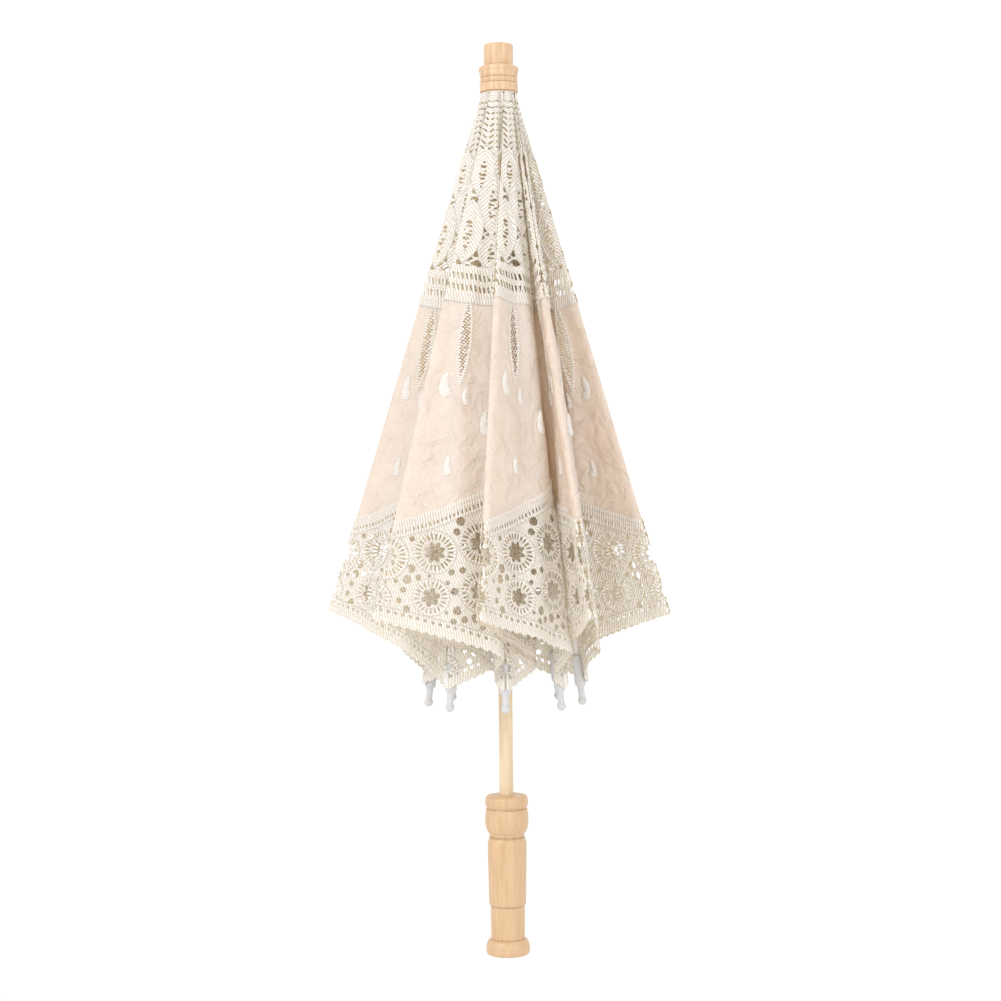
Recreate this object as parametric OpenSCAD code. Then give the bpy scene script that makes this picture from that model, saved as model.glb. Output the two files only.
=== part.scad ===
// Lace parasol, closed and unwrapped, standing on its handle. Units are mm, +Z runs up the stick.
// The origin is the centre of the flat underside of the handle. Ribs are numbered from the one on the -Y side, turning towards +X.

/* [Stick and handle] */
// Radius of the wooden stick
stick_radius = 5; // [4.5:0.1:6]
// Height of the turned handle
handle_height = 114; // [100:1:120]
// Scale on the radii of the turned handle
handle_girth = 1; // [0.85:0.01:1.15]

/* [Finial] */
// Radius of the round top of the finial, which a cap or a stand cup takes
finial_top_radius = 10.5; // [9.5:0.1:12]
// Height of the plain round top of the finial
finial_top_height = 15; // [12:0.5:20]

/* [Frame] */
// Radius of the ring that the ribs hang on
pivot_radius = 9.8; // [9.6:0.1:11]
// Height of that ring
pivot_height = 610; // [600:1:612]
// Length of a rib from the ring to the end of its tip
rib_length = 435; // [425:1:440]
// Radius of a rib's rod
rib_radius = 1.5; // [1.2:0.1:1.6]
// Angle of a closed rib away from the stick, in degrees
rest_angle = 6; // [5.5:0.1:7]
// Angle of an opened rib away from the stick, in degrees
open_angle = 70; // [66:1:72]
// Length of a stretcher from its rivet to the runner
stretcher_length = 190; // [185:1:195]

/* [Canopy] */
// Thickness of the cloth as a solid
cloth_thickness = 0.8; // [0.6:0.1:1]
// Height of the cloth over the middle of a rib
cloth_lift = 3; // [2.7:0.1:3.5]
// Hem of the cloth at a crease, measured from the top
hem_middle = 394; // [385:1:396]
// Furthest the solid cloth reaches beside a rib, measured from the top
hem_corner = 404; // [398:1:405]
// Distance from the top at which the solid cloth starts
cloth_start = 26; // [24:1:40]

/* [Hidden] */
$fn = 64;
e = 0.05;
// for each gore: azimuth and distance out of its hanging crease at the hem
creases = [[-8, 125], [28, 125], [75, 120], [126.5, 124], [171.5, 124], [216.5, 124], [262, 129], [313, 123]];
crease_height = pivot_height - 367;
flap_spin_left = -40;
flap_spin_right = 0;
soft_share = 0.45;
// the stick sinks this far into the handle, and stands this far above the ring of the ribs
socket_depth = 60;
stick_above = 22;
// height of the runner's eyes with the ribs closed and open
joint_low = pivot_height - 2 * stretcher_length * cos(rest_angle);
joint_high = pivot_height - 2 * stretcher_length * cos(open_angle);
// pins of the two catches: their heights, and their distance from the stick's axis
bottom_catch_z = joint_low + 45.918;
top_catch_z = joint_high - 70.032;
catch_pin_out = stick_radius - 2.2;
// seat of the finial on the gathered cloth
seat = pivot_height + 4;

function azi(k) = 45 * (k - 1);
function out(w) = [sin(w), -cos(w), 0];
function unit(v) = v / norm(v);
function turned(v, ax, a) = v * cos(a) + cross(ax, v) * sin(a) + ax * (ax * v) * (1 - cos(a));
function along(w, t) = sin(t) * out(w) - cos(t) * [0, 0, 1];
function pivot(w) = pivot_radius * out(w) + [0, 0, pivot_height];
function opening_axis(w) = [-cos(w), -sin(w), 0];

// top point of the cloth that hangs from a rib: on the stick's axis once the rib is open
function slide_back() = -(pivot_radius + cloth_lift * cos(open_angle)) / sin(open_angle);
function apex(w) = pivot(w) + slide_back() * along(w, rest_angle) + cloth_lift * (cos(rest_angle) * out(w) + [0, 0, sin(rest_angle)]);
// middle line of the spread gore, seen from the closed rib
function spread(w, s) = turned(unit(along(w, open_angle) + along(w + 45 * s, open_angle)), opening_axis(w), -(open_angle - rest_angle));
function crease(w, g) = unit(creases[g][1] * out(creases[g][0]) + [0, 0, crease_height] - apex(w));
function fold_axis(w, s, g, spin) = let (c = crease(w, g), m = spread(w, s), r = along(w, rest_angle), d = unit(m - c), n = unit(r - (r * d) * d)) cos(spin) * n + sin(spin) * cross(d, n);
function fold_angle(w, s, g, spin) = let (n = fold_axis(w, s, g, spin), c = crease(w, g), m = spread(w, s), p = c - (c * n) * n, q = m - (m * n) * n) atan2(cross(p, q) * n, p * q);
function smooth(x) = let (t = min(1, max(0, x))) t * t * (3 - 2 * t);
function cloth_ray(w, s, g, spin, u) =
  let (r = along(w, rest_angle), m = spread(w, s), b = acos(r * m), q = (sin(b * (1 - u)) * r + sin(b * u) * m) / sin(b))
  turned(q, fold_axis(w, s, g, spin), -fold_angle(w, s, g, spin) * smooth(u / soft_share));
function hem(u) = min(hem_corner, hem_middle + 38 * pow(1 - u, 2.2));

// half a gore: w is its rib's azimuth, s the side it spreads to, g the gore it belongs to
module half_gore(w, s, g, spin, n = 12) {
  us = [for (i = [0 : n]) 0.035 + (0.965 - 0.035) * i / n];
  a = apex(w) + 0.5 * s * [cos(w), sin(w), 0];
  rays = [for (u = us) cloth_ray(w, s, g, spin, u)];
  ups = [for (u = us) unit(cross(cloth_ray(w, s, g, spin, u), cloth_ray(w, s, g, spin, u + 0.01) - cloth_ray(w, s, g, spin, u - 0.01)))];
  pts = [for (i = [0 : n]) for (side = [1, -1]) for (v = [cloth_start, hem(us[i])]) a + v * rays[i] + side * cloth_thickness / 2 * ups[i]];
  quads = concat(
    [for (i = [0 : n - 1]) [4 * i, 4 * i + 4, 4 * i + 5, 4 * i + 1]],
    [for (i = [0 : n - 1]) [4 * i + 2, 4 * i + 3, 4 * i + 7, 4 * i + 6]],
    [for (i = [0 : n - 1]) [4 * i + 1, 4 * i + 5, 4 * i + 7, 4 * i + 3]],
    [for (i = [0 : n - 1]) [4 * i + 4, 4 * i, 4 * i + 2, 4 * i + 6]],
    [[0, 1, 3, 2], [4 * n, 4 * n + 2, 4 * n + 3, 4 * n + 1]]);
  polyhedron(points = pts, faces = [for (q = quads) for (t = [[q[0], q[1], q[2]], [q[0], q[2], q[3]]]) t]);
}
// the left half hangs from the gore's right-hand rib and covers the right half, which folds back to the rib before it
module gore_left(k) half_gore(azi(k) + 45, -1, k - 1, flap_spin_left);
module gore_right(k) half_gore(azi(k), 1, k - 1, flap_spin_right);

module handle() {
  g = handle_girth;
  f = handle_height / 114;
  difference() {
    rotate_extrude() scale([1, 1]) polygon([
      [0, 0], [13.6 * g, 0], [14.7 * g, 0.5 * f], [15.4 * g, 1.6 * f], [15.7 * g, 3.4 * f], [15.6 * g, 6 * f], [15.1 * g, 8.4 * f], [14.2 * g, 10.2 * f], [12.9 * g, 11.2 * f],
      [12.2 * g, 12 * f], [12.1 * g, 14 * f], [12.2 * g, 20 * f], [12.3 * g, 30 * f], [12.2 * g, 34.4 * f], [12.6 * g, 35.4 * f], [13.2 * g, 36.6 * f],
      [13.4 * g, 45 * f], [13.6 * g, 58 * f], [13.9 * g, 72 * f], [13.9 * g, 79 * f], [13.5 * g, 81.6 * f], [12.8 * g, 83.2 * f], [12.4 * g, 85 * f],
      [12.8 * g, 86.6 * f], [13.9 * g, 88 * f], [14.9 * g, 90.6 * f], [15.5 * g, 94 * f], [15.6 * g, 97.4 * f], [15.3 * g, 101 * f], [14.8 * g, 103.8 * f], [14.3 * g, 105 * f],
      [14.8 * g, 105.9 * f], [15.3 * g, 107 * f], [15.3 * g, 110.6 * f], [14.8 * g, 112.6 * f], [13.7 * g, 113.7 * f], [12 * g, 114 * f], [0, 114 * f]]);
    translate([0, 0, handle_height - socket_depth]) cylinder(r = stick_radius + e, h = 100);
  }
}
module in_slot(low, high) rotate([0, 0, 22.5]) translate([-1.1, -stick_radius - 0.6, low]) cube([2.2, 8.8, high - low]);
module catch_pin_at(z, r) rotate([0, 0, 22.5]) translate([0, -catch_pin_out, z]) rotate([0, 90, 0]) cylinder(r = r, h = 7.6, center = true);
module stick() difference() {
  translate([0, 0, handle_height - socket_depth + e]) cylinder(r = stick_radius, h = pivot_height + stick_above - handle_height + socket_depth);
  in_slot(bottom_catch_z - 34, bottom_catch_z + 5);
  in_slot(top_catch_z - 5, top_catch_z + 34);
  catch_pin_at(bottom_catch_z, 0.65);
  catch_pin_at(top_catch_z, 0.65);
}
module bottom_catch_pin() catch_pin_at(bottom_catch_z, 0.6);
module top_catch_pin() catch_pin_at(top_catch_z, 0.6);
module catch_plate() translate([0, -catch_pin_out, 0]) difference() {
  rotate([90, 0, 90]) translate([0, 0, -0.8]) linear_extrude(height = 1.6) polygon([[1.4, -3], [-1.4, -3], [-1.6, 22], [-5, 30.8], [-5, 32], [1.4, 32]]);
  rotate([0, 90, 0]) cylinder(r = 0.68, h = 4, center = true);
}
module bottom_catch() rotate([0, 0, 22.5]) translate([0, 0, bottom_catch_z]) mirror([0, 0, 1]) catch_plate();
module top_catch() rotate([0, 0, 22.5]) translate([0, 0, top_catch_z]) catch_plate();

module finial() {
  top = 21 + finial_top_height;
  t = finial_top_radius;
  translate([0, 0, seat]) difference() {
    rotate_extrude() polygon([
      [0, 1.2], [12.9, 1.2], [13.6, 1.8], [13.7, 3], [13.7, 7.4], [13, 8.2], [13.3, 9], [13.7, 10], [13.3, 11.1], [12.9, 11.9], [13.4, 12.7],
      [13.7, 14], [13.7, 15.6], [14.2, 17], [14.3, 18.4], [13.8, 19.4], [12.4, 20.2], [t, 21], [t, top - 1.2], [t - 0.4, top - 0.3], [t - 1.4, top], [0, top]]);
    translate([0, 0, -14]) cylinder(r = stick_radius + e, h = 33);
  }
}
module rosette() difference() {
  translate([0, 0, seat + 0.05]) cylinder(r1 = 12.4, r2 = 12.9, h = 1.1);
  translate([0, 0, seat - 4]) cylinder(r = stick_radius + e, h = 10);
}
module slots(low, high, inner) for (k = [1 : 8]) rotate([0, 0, azi(k)]) translate([-1.1, -20, low]) cube([2.2, 20 - inner, high - low]);
module crown() difference() {
  union() {
    translate([0, 0, pivot_height - 6.5]) cylinder(r = pivot_radius + 2.2, h = 8.5);
    translate([0, 0, pivot_height - 6.5]) cylinder(r = stick_radius + 2, h = seat - pivot_height + 6.5);
  }
  translate([0, 0, pivot_height - 20]) cylinder(r = stick_radius + e, h = 40);
  slots(pivot_height - 10, pivot_height + 3, pivot_radius - 2.7);
  translate([0, 0, pivot_height]) rotate_extrude() translate([pivot_radius, 0]) circle(r = 0.6, $fn = 24);
}
module crown_wire() translate([0, 0, pivot_height]) rotate_extrude() translate([pivot_radius, 0]) circle(r = 0.55, $fn = 24);

module runner() difference() {
  union() {
    translate([0, 0, joint_low - 37]) cylinder(r = stick_radius + 2.2, h = 50);
    translate([0, 0, joint_low - 6]) cylinder(r = pivot_radius + 2.4, h = 12);
    translate([0, 0, joint_low - 37]) cylinder(r = stick_radius + 2.4, h = 4);
  }
  translate([0, 0, joint_low - 60]) cylinder(r = stick_radius + 0.25, h = 100);
  slots(joint_low - 7, joint_low + 7, pivot_radius - 2.45);
  rotate([0, 0, 22.5]) translate([-1.3, -stick_radius - 3.6, joint_low - 60]) cube([2.6, stick_radius + 3.6, 100]);
}

// a rib points down from its pivot before it is tilted out
module at_rib(k) rotate([0, 0, azi(k)]) translate([0, -pivot_radius, pivot_height]) rotate([-rest_angle, 0, 0]) children();
module rib(k) at_rib(k) difference() {
  union() {
    rotate([0, 90, 0]) cylinder(r = 2.2, h = 1.6, center = true);
    translate([-0.8, -rib_radius, -10]) cube([1.6, 2 * rib_radius, 10]);
    translate([0, 0, -(stretcher_length - 6)]) cylinder(r = rib_radius, h = stretcher_length - 6 - 9);
    translate([-0.8, -rib_radius, -(stretcher_length + 18)]) cube([1.6, 2 * rib_radius, 25]);
    translate([0, 0, -stretcher_length]) rotate([0, 90, 0]) cylinder(r = 2.2, h = 1.6, center = true);
    translate([0, 0, -(rib_length - 26)]) cylinder(r = rib_radius, h = rib_length - 26 - stretcher_length - 17);
  }
  rotate([0, 90, 0]) cylinder(r = 0.62, h = 4, center = true);
  translate([0, 0, -stretcher_length]) rotate([0, 90, 0]) cylinder(r = 0.75, h = 4, center = true);
}
module rivet(k) at_rib(k) translate([0, 0, -stretcher_length]) rotate([0, 90, 0]) {
  cylinder(r = 0.7, h = 5.2, center = true);
  translate([0, 0, 2]) cylinder(r = 1.4, h = 0.6);
  translate([0, 0, -2.6]) cylinder(r = 1.4, h = 0.6);
}
module tip(k) at_rib(k) translate([0, 0, -rib_length]) difference() {
  rotate_extrude() polygon([
    [0, 0], [0.9, 0.15], [1.9, 0.7], [2.7, 1.6], [3.15, 2.8], [3.15, 3.8], [2.7, 5], [2.3, 5.8], [2.25, 8], [2.4, 11], [2.7, 13.4], [3.5, 14.2],
    [3.9, 15], [4, 16.6], [4, 33.6], [3.8, 35.4], [3.2, 36.3], [2.4, 36.6], [0, 36.6]]);
  translate([0, 0, 25.5]) cylinder(r = rib_radius + e, h = 20);
}
module stretcher(k) at_rib(k) translate([0, 0, -stretcher_length]) rotate([2 * rest_angle, 0, 0]) difference() {
  union() {
    for (x = [-1.95, 0.95]) {
      translate([x, 0, 0]) rotate([0, 90, 0]) cylinder(r = 2.2, h = 1);
      translate([x, -rib_radius, -17]) cube([1, 2 * rib_radius, 17]);
    }
    translate([-1.95, -rib_radius, -20]) cube([3.9, 2 * rib_radius, 4]);
    translate([-0.8, -rib_radius, -stretcher_length]) cube([1.6, 2 * rib_radius, stretcher_length - 18]);
    translate([0, 0, -stretcher_length]) rotate([0, 90, 0]) cylinder(r = 2.2, h = 1.6, center = true);
  }
  rotate([0, 90, 0]) cylinder(r = 0.75, h = 8, center = true);
}

handle();
stick();
finial();
crown();
crown_wire();
rosette();
bottom_catch_pin();
top_catch_pin();
runner();
bottom_catch();
top_catch();
rib(1);  // rib_1
rib(2);  // rib_2
rib(3);  // rib_3
rib(4);  // rib_4
rib(5);  // rib_5
rib(6);  // rib_6
rib(7);  // rib_7
rib(8);  // rib_8
tip(1);  // tip_1
tip(2);  // tip_2
tip(3);  // tip_3
tip(4);  // tip_4
tip(5);  // tip_5
tip(6);  // tip_6
tip(7);  // tip_7
tip(8);  // tip_8
rivet(1);  // rivet_1
rivet(2);  // rivet_2
rivet(3);  // rivet_3
rivet(4);  // rivet_4
rivet(5);  // rivet_5
rivet(6);  // rivet_6
rivet(7);  // rivet_7
rivet(8);  // rivet_8
stretcher(1);  // stretcher_1
stretcher(2);  // stretcher_2
stretcher(3);  // stretcher_3
stretcher(4);  // stretcher_4
stretcher(5);  // stretcher_5
stretcher(6);  // stretcher_6
stretcher(7);  // stretcher_7
stretcher(8);  // stretcher_8
gore_left(1);  // gore_1_left
gore_left(2);  // gore_2_left
gore_left(3);  // gore_3_left
gore_left(4);  // gore_4_left
gore_left(5);  // gore_5_left
gore_left(6);  // gore_6_left
gore_left(7);  // gore_7_left
gore_left(8);  // gore_8_left
gore_right(1);  // gore_1_right
gore_right(2);  // gore_2_right
gore_right(3);  // gore_3_right
gore_right(4);  // gore_4_right
gore_right(5);  // gore_5_right
gore_right(6);  // gore_6_right
gore_right(7);  // gore_7_right
gore_right(8);  // gore_8_right
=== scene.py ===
"""Lace parasol, closed and unwrapped, on plain white."""
import math

import bpy
import numpy as np
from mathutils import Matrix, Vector


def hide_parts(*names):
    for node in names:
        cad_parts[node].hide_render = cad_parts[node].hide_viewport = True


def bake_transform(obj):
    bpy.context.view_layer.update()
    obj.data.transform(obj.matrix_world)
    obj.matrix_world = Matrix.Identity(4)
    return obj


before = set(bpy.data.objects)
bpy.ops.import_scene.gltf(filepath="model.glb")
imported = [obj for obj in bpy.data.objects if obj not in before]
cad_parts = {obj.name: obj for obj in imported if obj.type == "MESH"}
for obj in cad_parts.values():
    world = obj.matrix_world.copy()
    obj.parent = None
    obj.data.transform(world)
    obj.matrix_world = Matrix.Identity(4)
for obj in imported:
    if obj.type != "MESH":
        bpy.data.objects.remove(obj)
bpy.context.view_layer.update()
MM = 0.001

# ---------------------------------------------------------------- frame of the parasol, in mm and degrees
PIVOT_R, PIVOT_Z = 9.8, 610.0
REST, OPEN = math.radians(6), math.radians(70)
LIFT = 3.0
# for each gore: azimuth and distance out of its hanging crease, at CREASE_Z
CREASES = [
    (-8, 125), (28, 125), (75, 120), (126.5, 124),
    (171.5, 124), (216.5, 124), (262, 129), (313, 123),
]
CREASE_Z = 243.0
SPIN = {"left": math.radians(-40), "right": 0.0}
SOFT = 0.45
UP = np.array([0.0, 0.0, 1.0])

# heights of the soft waves, of the fine crinkles, of the rounded fold and of the cloth over a rib tip
WAVE, CRINKLE, FOLD, OVER_TIP = 1.9, 0.42, 1.7, 2.4
FOLD_WIDTH = 4.0

# the cut of a gore, measured from the top of the cloth: at the gore's middle and at the rib
YOKE_TOP, YOKE_END = 7.5, 164.0
LINEN_MID, LINEN_RIB = 327.0, 268.0
HEM_MID, HEM_RIB = 393.0, 430.0


def out(w):
    w = math.radians(w)
    return np.array([math.sin(w), -math.cos(w), 0.0])


def unit(v):
    return v / np.linalg.norm(v, axis=-1, keepdims=True)


def turned(v, axis, angle):
    """v turned about a unit axis; v is (n, 3) or (3,), angle a number or (n,)."""
    v = np.atleast_2d(v)
    c, s = np.cos(angle), np.sin(angle)
    c, s = np.reshape(c, (-1, 1)), np.reshape(s, (-1, 1))
    return v * c + np.cross(axis, v) * s + np.outer(v @ axis, axis) * (1 - c)


def along(w, tilt):
    return math.sin(tilt) * out(w) - math.cos(tilt) * UP


def pivot(w):
    return PIVOT_R * out(w) + PIVOT_Z * UP


SLIDE_BACK = -(PIVOT_R + LIFT * math.cos(OPEN)) / math.sin(OPEN)


def apex(w):
    return pivot(w) + SLIDE_BACK * along(w, REST) + LIFT * (math.cos(REST) * out(w) + math.sin(REST) * UP)


def crease_line(number, part):
    """Top point and direction of a half's edge along its gore's crease."""
    top = apex(45 * number if part == "left" else 45 * (number - 1))
    turn, far = CREASES[number - 1]
    return top, unit(far * out(turn) + CREASE_Z * UP - top)


class HalfGore:
    """Half a gore: it hangs from the rib at azimuth w and spreads to the side s up to the crease."""

    def __init__(self, number, part):
        self.number, self.part = number, part
        self.s = -1 if part == "left" else 1
        self.rib = number % 8 + 1 if part == "left" else number
        w = 45 * number if part == "left" else 45 * (number - 1)
        turn, far = CREASES[number - 1]
        self.apex, self.r = apex(w), along(w, REST)
        hinge = np.array([-math.cos(math.radians(w)), -math.sin(math.radians(w)), 0.0])
        middle = unit(along(w, OPEN) + along(w + 45 * self.s, OPEN))
        self.m = turned(middle, hinge, -(OPEN - REST))[0]
        self.c = unit(far * out(turn) + CREASE_Z * UP - self.apex)
        d = unit(self.m - self.c)
        n = unit(self.r - (self.r @ d) * d)
        n = math.cos(SPIN[part]) * n + math.sin(SPIN[part]) * np.cross(d, n)
        p, q = self.c - (self.c @ n) * n, self.m - (self.m @ n) * n
        self.n, self.turn = n, math.atan2(np.cross(p, q) @ n, p @ q)
        self.beta = math.acos(self.r @ self.m)
        self.seed = number * 2 + (part == "left")
        other = crease_line(number, "right" if part == "left" else "left")
        self.meet = (other[0] - self.apex) / 2, (other[1] - self.c) / 2

    def weight(self, u):
        t = np.clip(u / SOFT, 0, 1)
        return t * t * (3 - 2 * t)

    def ray(self, u):
        b = self.beta
        flat = (np.sin(b * (1 - u))[:, None] * self.r + np.sin(b * u)[:, None] * self.m) / math.sin(b)
        return turned(flat, self.n, -self.turn * self.weight(u))

    def place(self, x, y, lift):
        """Hang flat cloth points: x is across from the rib, y down from the top, lift off the cloth."""
        v, phi = np.hypot(x, y), np.arctan2(x, y)
        u = np.clip(phi / self.beta, 0, 1)
        ray = self.ray(u)
        e = 0.01
        normal = unit(np.cross(ray, self.ray(u + e) - self.ray(u - e))) * (1 if self.s > 0 else -1)
        fall = np.clip((v - 40) / 160, 0, 1)
        k = self.seed * 1.7
        wave = np.sin(2 * math.pi * (2.3 * u + 0.25 * np.sin(v / 85 + k)) + k)
        wave = wave + 0.6 * np.sin(2 * math.pi * (4.1 * u + 0.3 * np.sin(v / 60 + 2 * k)) + 2.3 * k)
        ripple = WAVE * np.sin(math.pi * u) ** 1.2 * fall * wave
        a, b = v / 9.0, v * phi / 7.0
        crinkle = np.sin(0.9 * a + 1.9 * np.sin(0.6 * b + k) + k)
        crinkle = crinkle + 0.8 * np.sin(1.3 * b - 1.4 * np.sin(0.45 * a + 3 * k))
        crinkle = crinkle + 0.7 * np.sin(0.8 * a - 1.2 * b + 2.2 * np.sin(0.3 * a + k))
        spread = np.sin(math.pi * u) ** 0.6 * np.clip((v - 100) / 80, 0.3, 1)
        ripple = ripple + CRINKLE * spread * crinkle
        over_tip = OVER_TIP * np.exp(-((x / 6) ** 2)) * np.clip((v - 390) / 12, 0, 1)
        near = v * (self.beta - np.clip(phi, 0, self.beta))
        rounded = np.sqrt(np.clip(1 - (1 - near / FOLD_WIDTH) ** 2, 0, 1))
        fading = np.exp(-(near - FOLD_WIDTH) / 12)
        fold = FOLD * np.where(near > FOLD_WIDTH, fading, rounded) * np.clip(v / 150, 0, 1)
        height = np.asarray(lift) + ripple + over_tip + fold
        points = self.apex + v[:, None] * ray + height[:, None] * normal
        points += (u**1.5)[:, None] * (self.meet[0] + v[:, None] * self.meet[1])
        return points * MM, self.weight(u)


# ---------------------------------------------------------------- flat patterns
BETA = HalfGore(5, "right").beta


def linen_end(phi):
    t = np.clip(phi / BETA, 0, 1)
    return LINEN_RIB + (LINEN_MID - LINEN_RIB) * t


def hem(phi):
    t = np.clip(phi / BETA, 0, 1)
    return HEM_MID + (HEM_RIB - HEM_MID) * (1 - t) ** 2.0


def leaf(x, y, cx, cy, turn, length, width):
    """Signed distance to a pointed leaf given by half sizes, turned in degrees from straight down."""
    a = math.radians(turn)
    dx, dy = x - cx, y - cy
    p, q = dx * math.sin(a) + dy * math.cos(a), np.abs(dx * math.cos(a) - dy * math.sin(a))
    r = (length**2 + width**2) / (2 * width)
    body = np.hypot(p, q + r - width) - r
    return np.where((np.abs(p) > length), np.hypot(np.abs(p) - length, q), body)


def disc(x, y, cx, cy, r):
    return np.hypot(x - cx, y - cy) - r


def at(phi_share, v):
    return v * math.sin(phi_share * BETA), v * math.cos(phi_share * BETA)


def stripes(t, pitch):
    """Distance to the nearest of a family of lines a pitch apart."""
    return np.abs((t / pitch + 0.5) % 1.0 - 0.5) * pitch


def side_limit(x, y):
    """Positive outside the wedge between the rib and the gore's middle."""
    phi, v = np.arctan2(x, y), np.hypot(x, y)
    return np.maximum(-x, v * np.sin(phi - BETA))


NET_LEAVES = [(0.34, 204, 44, 4.6), (0.72, 192, 32, 4.2)]
DROPS = [
    (0.12, 236, 8, 2.7), (0.50, 250, 9, 3.4), (0.66, 232, 7, 2.3),
    (0.84, 226, 9, 3.3), (0.26, 258, 8, 2.7), (0.74, 282, 7, 2.5),
]


def net_leaf_distances(x, y):
    return [leaf(x, y, *at(s, v), math.degrees(s * BETA), a, b) for s, v, a, b in NET_LEAVES]


def linen_pattern(x, y):
    phi, v = np.arctan2(x, y), np.hypot(x, y)
    f = np.maximum(np.maximum(YOKE_END - 2.5 - v, v - linen_end(phi) - 1.5), side_limit(x, y))
    for d in net_leaf_distances(x, y):
        f = np.maximum(f, 0.6 - d)
    return f, np.zeros_like(x), x, y


# leaves of the yoke: share of the way to the crease, distance from the top, half length, half width
YOKE_LEAVES = [
    (0.24, 68, 20, 7.4), (0.76, 68, 20, 7.4), (0.5, 92, 23, 9.4),
    (0.13, 113, 24, 10.0), (0.87, 113, 24, 10.0), (0.50, 127, 14, 8.6),
]
GATHER_END = 52
BAND_TOP = YOKE_END - 26


def yoke_pattern(x, y):
    phi, v = np.arctan2(x, y), np.hypot(x, y)
    edge = v * (BETA - phi)
    arc = v * phi
    tapes = np.minimum(np.abs(x) - 3.0, np.abs(edge) - 2.4)
    solid = np.minimum(np.maximum(tapes, v - YOKE_END - 1), v - GATHER_END)
    solid = np.minimum(solid, np.abs(v - GATHER_END - 2) - 1.8)
    solid = np.minimum(solid, np.maximum(BAND_TOP - v, v - YOKE_END - 1))
    lift = 0.7 * np.exp(-(((np.abs(x) - 2.4) / 0.7) ** 2))
    thread_s, thread_t = v.copy(), arc.copy()
    # herringbone where the lace is gathered at the top
    chevron = (phi / BETA * 2) % 1.0
    top = v < GATHER_END + 2
    thread_s = np.where(top, v + 0.55 * np.abs(chevron - 0.5) * v * BETA, thread_s)
    wing = v * BETA / 4
    off = np.abs(chevron - 0.5) * 2 * wing
    slots = np.maximum(np.abs(((v + 1.1 * off) % 4.6) - 2.3) - 0.9, np.abs(off - 0.5 * wing) - 0.34 * wing)
    slots = np.maximum(slots, np.maximum(13 - v, v - GATHER_END))
    for s, c, a, b in YOKE_LEAVES:
        turn = math.degrees(s * BETA)
        d = leaf(x, y, *at(s, c), turn, a, b)
        core = leaf(x, y, *at(s, c + 1.5), turn, a * 0.58, b * 0.28)
        rungs = np.maximum(core, 0.5 - stripes(v, 3.0))
        solid = np.minimum(solid, np.maximum(d, -rungs))
        lift = np.maximum(lift, 0.8 * np.exp(-(((d + 0.9) / 0.8) ** 2)))
        lift = np.maximum(lift, 0.5 * np.exp(-((core / 0.7) ** 2)))
        inside = d < 0
        across = (phi - s * BETA) * v
        thread_s = np.where(inside, 0.62 * v - 0.75 * np.abs(across), thread_s)
        thread_t = np.where(inside, across, thread_t)
    # bars and loops between the leaves
    bars = np.minimum(stripes(v + 0.45 * x, 7.0), stripes(v - 0.6 * x, 7.0)) - 0.75
    solid = np.minimum(solid, np.maximum(bars, np.maximum(GATHER_END - v, v - BAND_TOP - 1)))
    # ladder band above the linen
    band = np.abs(v - YOKE_END + 13) < 14
    thread_s = np.where(band, arc, thread_s)
    thread_t = np.where(band, v, thread_t)
    upper = np.maximum(np.abs(v - YOKE_END + 18.5) - 2.3, 0.75 - stripes(arc, 2.9))
    lower = np.maximum(np.abs(v - YOKE_END + 10.2) - 2.3, 0.75 - stripes(arc + 1.4, 2.9))
    eyelets = np.minimum(upper, lower)
    for ridge, wide in ((23.5, 1.1), (14.4, 0.9), (5.0, 0.9), (1.5, 1.4)):
        lift = np.maximum(lift, 0.9 * np.exp(-(((v - YOKE_END + ridge) / wide) ** 2)))
    f = np.maximum(np.maximum(solid, -slots), -eyelets)
    # net leaves that hang into the linen
    for (s, c, a, b), d in zip(NET_LEAVES, net_leaf_distances(x, y)):
        low = np.maximum(d - 1.0, YOKE_END - 6 - v)
        net = np.minimum(stripes(x + y, 2.7), stripes(x - y, 2.7)) - 0.42
        f = np.minimum(f, np.maximum(low, np.minimum(net, np.abs(d) - 1.0)))
        lift = np.where(v > YOKE_END - 1, np.maximum(lift, 0.8 * np.exp(-((d / 0.7) ** 2))), lift)
    return np.maximum(f, np.maximum(YOKE_TOP - v, side_limit(x, y))), lift, thread_s, thread_t


# medallions of the hem lace: share of the way to the crease, distance from the top, radius, petals
MEDALLIONS = [
    (0.0, 302, 13.5, 7), (0.0, 333, 15.0, 8), (0.0, 365, 14.5, 7), (0.0, 394, 12.0, 7), (0.0, 415, 6.5, 5),
    (0.25, 319, 14.5, 7), (0.26, 351, 14.5, 8), (0.22, 384, 13.0, 7),
    (0.50, 332, 14.5, 7), (0.49, 365, 14.5, 8), (0.75, 341, 14.0, 8), (0.74, 372, 12.0, 6),
    (1.0, 350, 14.5, 8), (1.0, 378, 8.5, 6),
]


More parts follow.
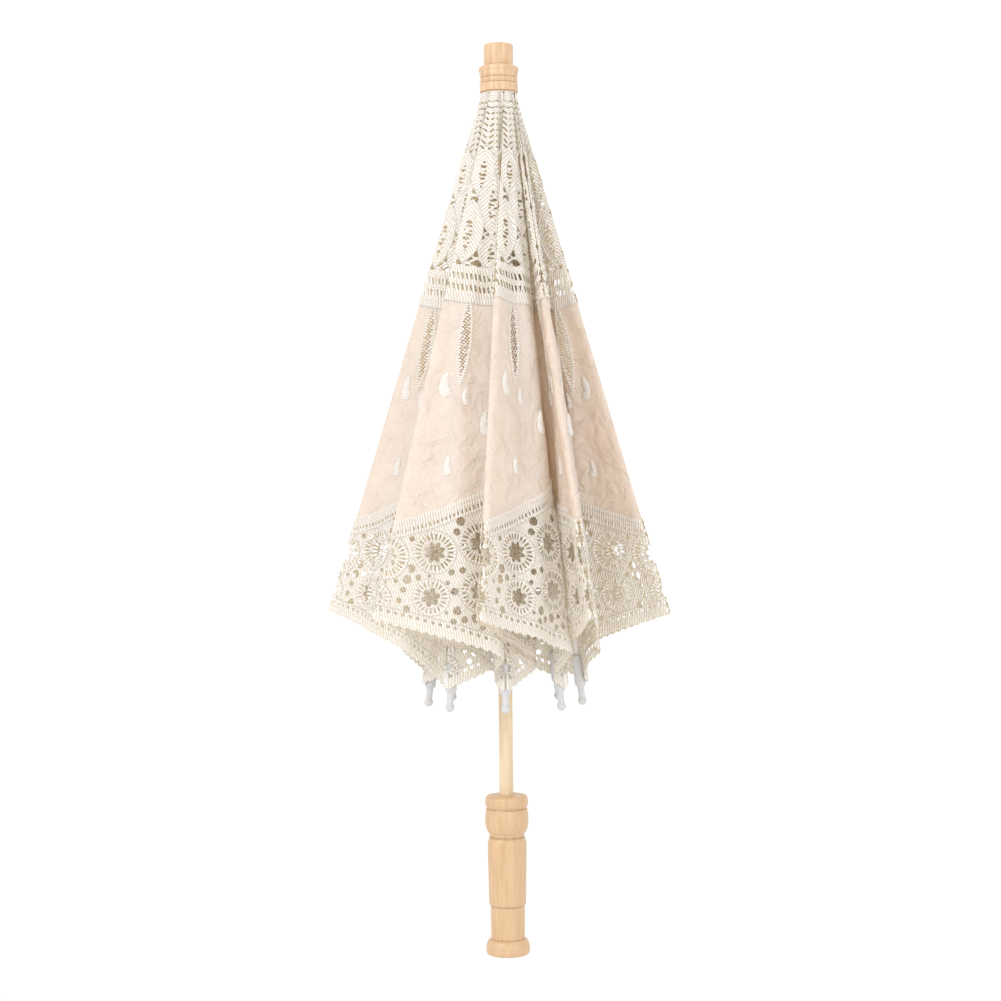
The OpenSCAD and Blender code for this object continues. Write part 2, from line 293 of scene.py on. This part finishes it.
def medallion_parts():
    """Openings of the hem lace: the medallions' rings, petal holes, and round holes between them."""
    rings, petals, eyes = [], [], []
    for s, v, r, n in MEDALLIONS:
        cx, cy = at(s, v)
        rings.append((cx, cy, r))
        eyes.append((cx, cy, 0.13 * r))
        for i in range(n):
            a = 2 * math.pi * (i + 0.5) / n + 1.3 * s
            reach = 0.34 * r
            px, py = cx + reach * math.sin(a), cy + reach * math.cos(a)
            petals.append((px, py, math.degrees(a), 0.21 * r, 0.95 * r / n))
    pitch = 7.6
    for j in range(27):
        for i in range(26):
            x, y = (i + 0.5 * (j % 2)) * pitch, 250 + j * pitch * 0.88
            v, phi = math.hypot(x, y), math.atan2(x, y)
            if phi > BETA * 1.01 or v < linen_end(phi) + 13 or v > hem(phi) - 11:
                continue
            far = min(math.hypot(x - cx, y - cy) - r for cx, cy, r in rings)
            if far > 2.4:
                eyes.append((x, y, min(3.1, far - 1.0) * (0.82 + 0.18 * math.sin(2.1 * i + 3.7 * j))))
    return rings, petals, eyes


THREAD = 1.9
RINGS, PETALS, EYES = medallion_parts()


def border_pattern(x, y):
    phi, v = np.arctan2(x, y), np.hypot(x, y)
    top, end = linen_end(phi), hem(phi)
    arc = v * phi
    scallop = 1.6 * np.abs(np.sin(arc / 6.0 * math.pi))
    f = np.maximum(np.maximum(top - 2.2 - v, v - end - scallop), side_limit(x, y))
    gap, rise = v - top, end - v
    thread_s, thread_t = arc + 0.25 * v, v.copy()
    nearest = np.full_like(x, 50.0)
    ring = np.full_like(x, 50.0)
    for cx, cy, r in RINGS:
        dx, dy = x - cx, y - cy
        d = np.hypot(dx, dy)
        zone = d < r + 0.8
        turns = np.round(2 * math.pi * r * 0.8 / THREAD)
        thread_s = np.where(zone, (np.arctan2(dx, dy) / (2 * math.pi) + 0.5) * turns * THREAD, thread_s)
        thread_t = np.where(zone, d, thread_t)
        ring = np.minimum(ring, np.abs(d - r))
        ring = np.minimum(ring, np.abs(d - 0.57 * r))
        spokes = round(2 * math.pi * 0.76 * r / 2.7)
        turn = np.arctan2(dx, dy) / (2 * math.pi)
        beside = np.abs((turn * spokes) % 1.0 - 0.5) * 2 * math.pi * d / spokes
        slit = np.maximum(np.abs(d - 0.77 * r) - 0.15 * r, beside - 0.25 - 0.035 * d)
        nearest = np.minimum(nearest, slit)
    for cx, cy, turn, a, b in PETALS:
        nearest = np.minimum(nearest, leaf(x, y, cx, cy, turn, a, b))
    for cx, cy, r in EYES:
        nearest = np.minimum(nearest, disc(x, y, cx, cy, r))
    ladder = np.maximum(np.abs(gap - 7.2) - 1.5, 0.9 - stripes(arc, 2.9))
    eyelet = np.hypot(stripes(arc + 2.5, 5.0), rise - 7.2) - 1.25
    nearest = np.minimum(nearest, np.minimum(ladder, eyelet))
    f = np.maximum(f, -nearest)
    lift = 0.55 * np.exp(-(((nearest - 0.8) / 0.7) ** 2))
    lift = np.maximum(lift, 0.9 * np.exp(-((ring / 0.85) ** 2)))
    for ridge, wide in ((0.4, 1.5), (3.8, 0.8), (10.8, 0.9)):
        lift = np.maximum(lift, 0.9 * np.exp(-(((gap - ridge) / wide) ** 2)))
    for ridge, wide in ((1.2, 1.2), (4.4, 0.9), (10.0, 0.9)):
        lift = np.maximum(lift, 0.9 * np.exp(-(((rise - ridge) / wide) ** 2)))
    hem_zone = (rise < 10) | (gap < 11)
    thread_s = np.where(hem_zone, arc, thread_s)
    return f, lift, thread_s, thread_t


def drop_pattern(x, y):
    f = np.full_like(x, 1e3)
    for s, v, a, b in DROPS:
        cx, cy = at(s, v)
        pointed = leaf(x, y, cx, cy - 0.25 * a, math.degrees(s * BETA) + 6, a, b * 0.9)
        f = np.minimum(f, np.minimum(pointed, disc(x, y, cx, cy + 0.35 * a, b * 1.15)))
    return f, 0.2 + 1.2 * np.clip(-f / 1.8, 0, 1), y, x


def cut(pattern, low, high, step):
    """Mesh a flat pattern where its distance is negative; outer points are pulled on to the outline."""
    y0, y1 = low * math.cos(BETA) - 2, high + 2
    x1 = high * math.sin(BETA) + 3
    xs, ys = np.arange(0, x1 + step, step), np.arange(y0, y1 + step, step)
    gx, gy = np.meshgrid(xs, ys)
    shape = gx.shape
    gx, gy = gx.ravel(), gy.ravel()
    f = pattern(gx, gy)[0]
    grid = f.reshape(shape)
    keep = (grid[:-1, :-1] + grid[1:, :-1] + grid[:-1, 1:] + grid[1:, 1:]) < 0
    index = np.arange(gx.size).reshape(shape)
    corners = index[:-1, :-1], index[:-1, 1:], index[1:, 1:], index[1:, :-1]
    quads = np.stack([corner[keep] for corner in corners], 1)
    shared = np.bincount(quads.ravel(), minlength=gx.size)
    rim = (shared > 0) & (shared < 4)
    e = 0.05
    px, py = gx.copy(), gy.copy()
    for _ in range(2):
        fx, fy = px[rim], py[rim]
        value = pattern(fx, fy)[0]
        dx = (pattern(fx + e, fy)[0] - pattern(fx - e, fy)[0]) / (2 * e)
        dy = (pattern(fx, fy + e)[0] - pattern(fx, fy - e)[0]) / (2 * e)
        size = np.maximum(np.hypot(dx, dy), 0.3)
        move = np.clip(value / size, -0.55 * step, 0.55 * step)
        px[rim] -= move * dx / size
        py[rim] -= move * dy / size
    px = np.maximum(px, 0)
    used = np.unique(quads)
    new = np.full(gx.size, -1)
    new[used] = np.arange(used.size)
    _, lift, thread_s, thread_t = pattern(px[used], py[used])
    return px[used], py[used], new[quads], lift, thread_s, thread_t


STEP = 0.72
FLAT = {
    "linen": cut(linen_pattern, YOKE_END - 4, LINEN_MID + 3, 1.7),
    "yoke": cut(yoke_pattern, YOKE_TOP, 250, 0.6),
    "border": cut(border_pattern, LINEN_RIB - 3, HEM_RIB + 3, STEP),
    "drops": cut(drop_pattern, 205, 290, 0.8),
}


# ---------------------------------------------------------------- materials
def material(name, color, rough):
    m = bpy.data.materials.new(name)
    m.use_nodes = True
    shader = m.node_tree.nodes["Principled BSDF"]
    shader.inputs["Base Color"].default_value = (*color, 1)
    shader.inputs["Roughness"].default_value = rough
    return m, m.node_tree, shader


def wood(name, pale, dark, rough=0.38):
    m, tree, shader = material(name, pale, rough)
    nodes, links = tree.nodes, tree.links
    where = nodes.new("ShaderNodeTexCoord")
    stretch = nodes.new("ShaderNodeMapping")
    stretch.inputs["Scale"].default_value = (1.0, 1.0, 0.07)
    noise = nodes.new("ShaderNodeTexNoise")
    noise.inputs["Scale"].default_value = 420.0
    noise.inputs["Detail"].default_value = 4.0
    noise.inputs["Roughness"].default_value = 0.6
    ramp = nodes.new("ShaderNodeValToRGB")
    ramp.color_ramp.elements[0].position, ramp.color_ramp.elements[1].position = 0.30, 0.62
    ramp.color_ramp.elements[0].color, ramp.color_ramp.elements[1].color = (*dark, 1), (*pale, 1)
    bump = nodes.new("ShaderNodeBump")
    bump.inputs["Strength"].default_value = 0.12
    bump.inputs["Distance"].default_value = 0.0003
    links.new(where.outputs["Object"], stretch.inputs["Vector"])
    links.new(stretch.outputs["Vector"], noise.inputs["Vector"])
    links.new(noise.outputs["Fac"], ramp.inputs["Fac"])
    links.new(ramp.outputs["Color"], shader.inputs["Base Color"])
    links.new(noise.outputs["Fac"], bump.inputs["Height"])
    links.new(bump.outputs["Normal"], shader.inputs["Normal"])
    return m


def threaded(name, color, gap, pitch, depth, cross=0.0, crumple=0.0, rough=0.85, wander=0.5, through=0.3):
    """Cloth whose threads lie a pitch apart, in metres, with cross threads of a share of their strength."""
    m, tree, shader = material(name, color, rough)
    nodes, links = tree.nodes, tree.links
    shader.inputs["Sheen Weight"].default_value = 0.1
    flat = nodes.new("ShaderNodeUVMap")
    flat.uv_map = "threads"

    def wave(direction, wander):
        w = nodes.new("ShaderNodeTexWave")
        w.wave_type, w.bands_direction = "BANDS", direction
        w.inputs["Scale"].default_value = 0.31416 / pitch
        w.inputs["Distortion"].default_value = wander
        w.inputs["Detail"].default_value = 1.0
        w.inputs["Detail Scale"].default_value = 2.0
        links.new(flat.outputs["UV"], w.inputs["Vector"])
        return w.outputs["Fac"]

    height = wave("X", wander)
    if cross:
        both = nodes.new("ShaderNodeMix")
        both.data_type = "FLOAT"
        both.inputs["Factor"].default_value = cross
        links.new(height, both.inputs["A"])
        links.new(wave("Y", 0.8), both.inputs["B"])
        height = both.outputs["Result"]
    # the gap colour, in the dips between threads, is painted shade
    ramp = nodes.new("ShaderNodeValToRGB")
    ramp.color_ramp.elements[0].color, ramp.color_ramp.elements[1].color = (*gap, 1), (*color, 1)
    ramp.color_ramp.elements[0].position, ramp.color_ramp.elements[1].position = 0.08, 0.46
    links.new(height, ramp.inputs["Fac"])
    links.new(ramp.outputs["Color"], shader.inputs["Base Color"])
    bump = nodes.new("ShaderNodeBump")
    bump.inputs["Strength"].default_value = 0.6
    bump.inputs["Distance"].default_value = depth
    links.new(height, bump.inputs["Height"])
    if crumple:
        where = nodes.new("ShaderNodeTexCoord")
        noise = nodes.new("ShaderNodeTexNoise")
        noise.inputs["Scale"].default_value = 70.0
        noise.inputs["Detail"].default_value = 5.0
        noise.inputs["Roughness"].default_value = 0.55
        noise.inputs["Distortion"].default_value = 0.8
        links.new(where.outputs["Object"], noise.inputs["Vector"])
        soft = nodes.new("ShaderNodeBump")
        soft.inputs["Strength"].default_value = 0.5
        soft.inputs["Distance"].default_value = crumple
        links.new(noise.outputs["Fac"], soft.inputs["Height"])
        links.new(soft.outputs["Normal"], bump.inputs["Normal"])
    links.new(bump.outputs["Normal"], shader.inputs["Normal"])
    # thin cloth lets some light through, and warms it
    glow = nodes.new("ShaderNodeBsdfTranslucent")
    glow.inputs["Color"].default_value = (color[0], color[1] * 0.80, color[2] * 0.48, 1)
    mix = nodes.new("ShaderNodeMixShader")
    mix.inputs["Fac"].default_value = through
    surface = nodes["Material Output"].inputs["Surface"]
    links.new(shader.outputs["BSDF"], mix.inputs[1])
    links.new(glow.outputs["BSDF"], mix.inputs[2])
    links.new(mix.outputs["Shader"], surface)
    return m


# each cloth's second colour is painted shade between its threads
LINEN = threaded("cream_linen", (0.94, 0.87, 0.805), (0.88, 0.79, 0.705), 0.0008, 0.0002, 0.5, 0.014)
TAPE = threaded(
    "ivory_tape_lace", (0.985, 0.98, 0.97), (0.74, 0.64, 0.49), THREAD * MM, 0.0011, 0.08,
    wander=2.2, through=0.2,
)
SATIN = threaded(
    "white_satin_stitch", (0.975, 0.96, 0.935), (0.85, 0.80, 0.73), 0.0016, 0.0008,
    wander=1.5, through=0.15,
)
HANDLE_WOOD = wood("turned_beech_handle", (0.66, 0.445, 0.26), (0.58, 0.37, 0.20))
STICK_WOOD = wood("pale_stick_wood", (0.76, 0.61, 0.415), (0.66, 0.50, 0.31))
FINIAL_WOOD = wood("turned_beech_finial", (0.75, 0.53, 0.33), (0.55, 0.34, 0.185))
# darker wood painted into the turned grooves as shade
GROOVE_SHADE_WOOD = wood("painted_groove_shade", (0.50, 0.30, 0.15), (0.42, 0.24, 0.11))
WHITE_FRAME = material("moulded_white_frame", (0.86, 0.85, 0.81), 0.35)[0]
ENAMEL = material("white_rib_enamel", (0.86, 0.85, 0.82), 0.3)[0]
# the tips' grey is partly their light grey plastic and partly painted shade
TIP = material("moulded_rib_tip", (0.60, 0.595, 0.60), 0.3)[0]
STEEL, _, steel = material("drawn_steel_wire", (0.6, 0.6, 0.6), 0.3)
steel.inputs["Metallic"].default_value = 1.0

LOOKS = {
    "handle": HANDLE_WOOD, "stick": STICK_WOOD, "finial": FINIAL_WOOD, "rosette": TAPE,
    "crown": WHITE_FRAME, "crown_wire": STEEL, "runner": WHITE_FRAME,
    "bottom_catch": STEEL, "bottom_catch_pin": STEEL, "top_catch": STEEL, "top_catch_pin": STEEL,
}
for k in range(1, 9):
    LOOKS |= {f"rib_{k}": ENAMEL, f"tip_{k}": TIP, f"rivet_{k}": STEEL, f"stretcher_{k}": ENAMEL}
for name, look in LOOKS.items():
    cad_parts[name].data.materials.clear()
    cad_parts[name].data.materials.append(look)


# painted shade in the turned wood's grooves, as heights from and to in mm
GROOVES = {
    "handle": [(11.1, 12.1), (34.3, 35.5), (83.1, 85.1), (103.7, 105.2)],
    "finial": [(615.1, 615.9), (621.3, 622.3), (625.0, 626.0), (634.1, 635.2)],
}
for name, rings in GROOVES.items():
    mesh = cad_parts[name].data
    mesh.materials.append(GROOVE_SHADE_WOOD)
    # side faces inside these rings get the painted groove shade
    for face in mesh.polygons:
        in_shaded_ring = any(low < face.center.z / MM < high for low, high in rings)
        if in_shaded_ring and abs(face.normal.z) < 0.95:
            face.material_index = 1


# ---------------------------------------------------------------- cloth
def cloth_piece(name, half, kind, look, lift):
    x, y, quads, height, thread_s, thread_t = FLAT[kind]
    points, weight = half.place(x, y, height + lift)
    faces = quads if half.s < 0 else quads[:, ::-1]
    mesh = bpy.data.meshes.new(name)
    mesh.from_pydata(points.tolist(), [], faces.tolist())
    mesh.polygons.foreach_set("use_smooth", np.ones(len(faces), bool))
    layer = mesh.uv_layers.new(name="threads")
    loops = np.zeros(len(mesh.loops), np.int32)
    mesh.loops.foreach_get("vertex_index", loops)
    layer.data.foreach_set("uv", (np.stack([thread_s, thread_t], 1)[loops] * MM).astype(np.float32).ravel())
    mesh.materials.append(look)
    mesh.update()
    obj = bpy.data.objects.new(name, mesh)
    bpy.context.scene.collection.objects.link(obj)
    far = half.apex + 300 * half.ray(np.array([1.0]))[0]
    near = half.apex + 300 * half.ray(np.array([0.0]))[0]
    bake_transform(obj)
    return obj


for number in range(1, 9):
    for part in ("left", "right"):
        half = HalfGore(number, part)
        tag = f"{number}_{part}"
        linen = cloth_piece(f"linen_{tag}", half, "linen", LINEN, 0.0)
        yoke = cloth_piece(f"yoke_lace_{tag}", half, "yoke", TAPE, 0.25)
        border = cloth_piece(f"hem_lace_{tag}", half, "border", TAPE, 0.3)
        drops = cloth_piece(f"satin_drops_{tag}", half, "drops", SATIN, 0.1)
        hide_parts(f"gore_{tag}")

# ---------------------------------------------------------------- camera and light
scene = bpy.context.scene
camera = bpy.data.objects.new("camera", bpy.data.cameras.new("camera"))
scene.collection.objects.link(camera)
camera.data.lens, camera.data.sensor_width = 73.7, 36.0
camera.location = (-0.002, -1.465, 0.3242)
camera.rotation_euler = (math.radians(90), math.radians(0.63), 0)
scene.camera = camera

world = bpy.data.worlds.new("white")
world.use_nodes = True
world.node_tree.nodes["Background"].inputs["Color"].default_value = (1, 1, 1, 1)
world.node_tree.nodes["Background"].inputs["Strength"].default_value = 1.06
scene.world = world
scene.view_settings.view_transform = "Standard"


def lamp(name, where, aim, size, power):
    light = bpy.data.lights.new(name, "AREA")
    light.size, light.energy = size, power
    obj = bpy.data.objects.new(name, light)
    obj.location = where
    obj.rotation_euler = (Vector(aim) - Vector(where)).to_track_quat("-Z", "Y").to_euler()
    scene.collection.objects.link(obj)


lamp("key", (-2.4, -2.3, 2.2), (0, 0, 0.35), 1.1, 38)
lamp("fill", (1.0, -2.8, 0.7), (0, 0, 0.35), 1.2, 16)
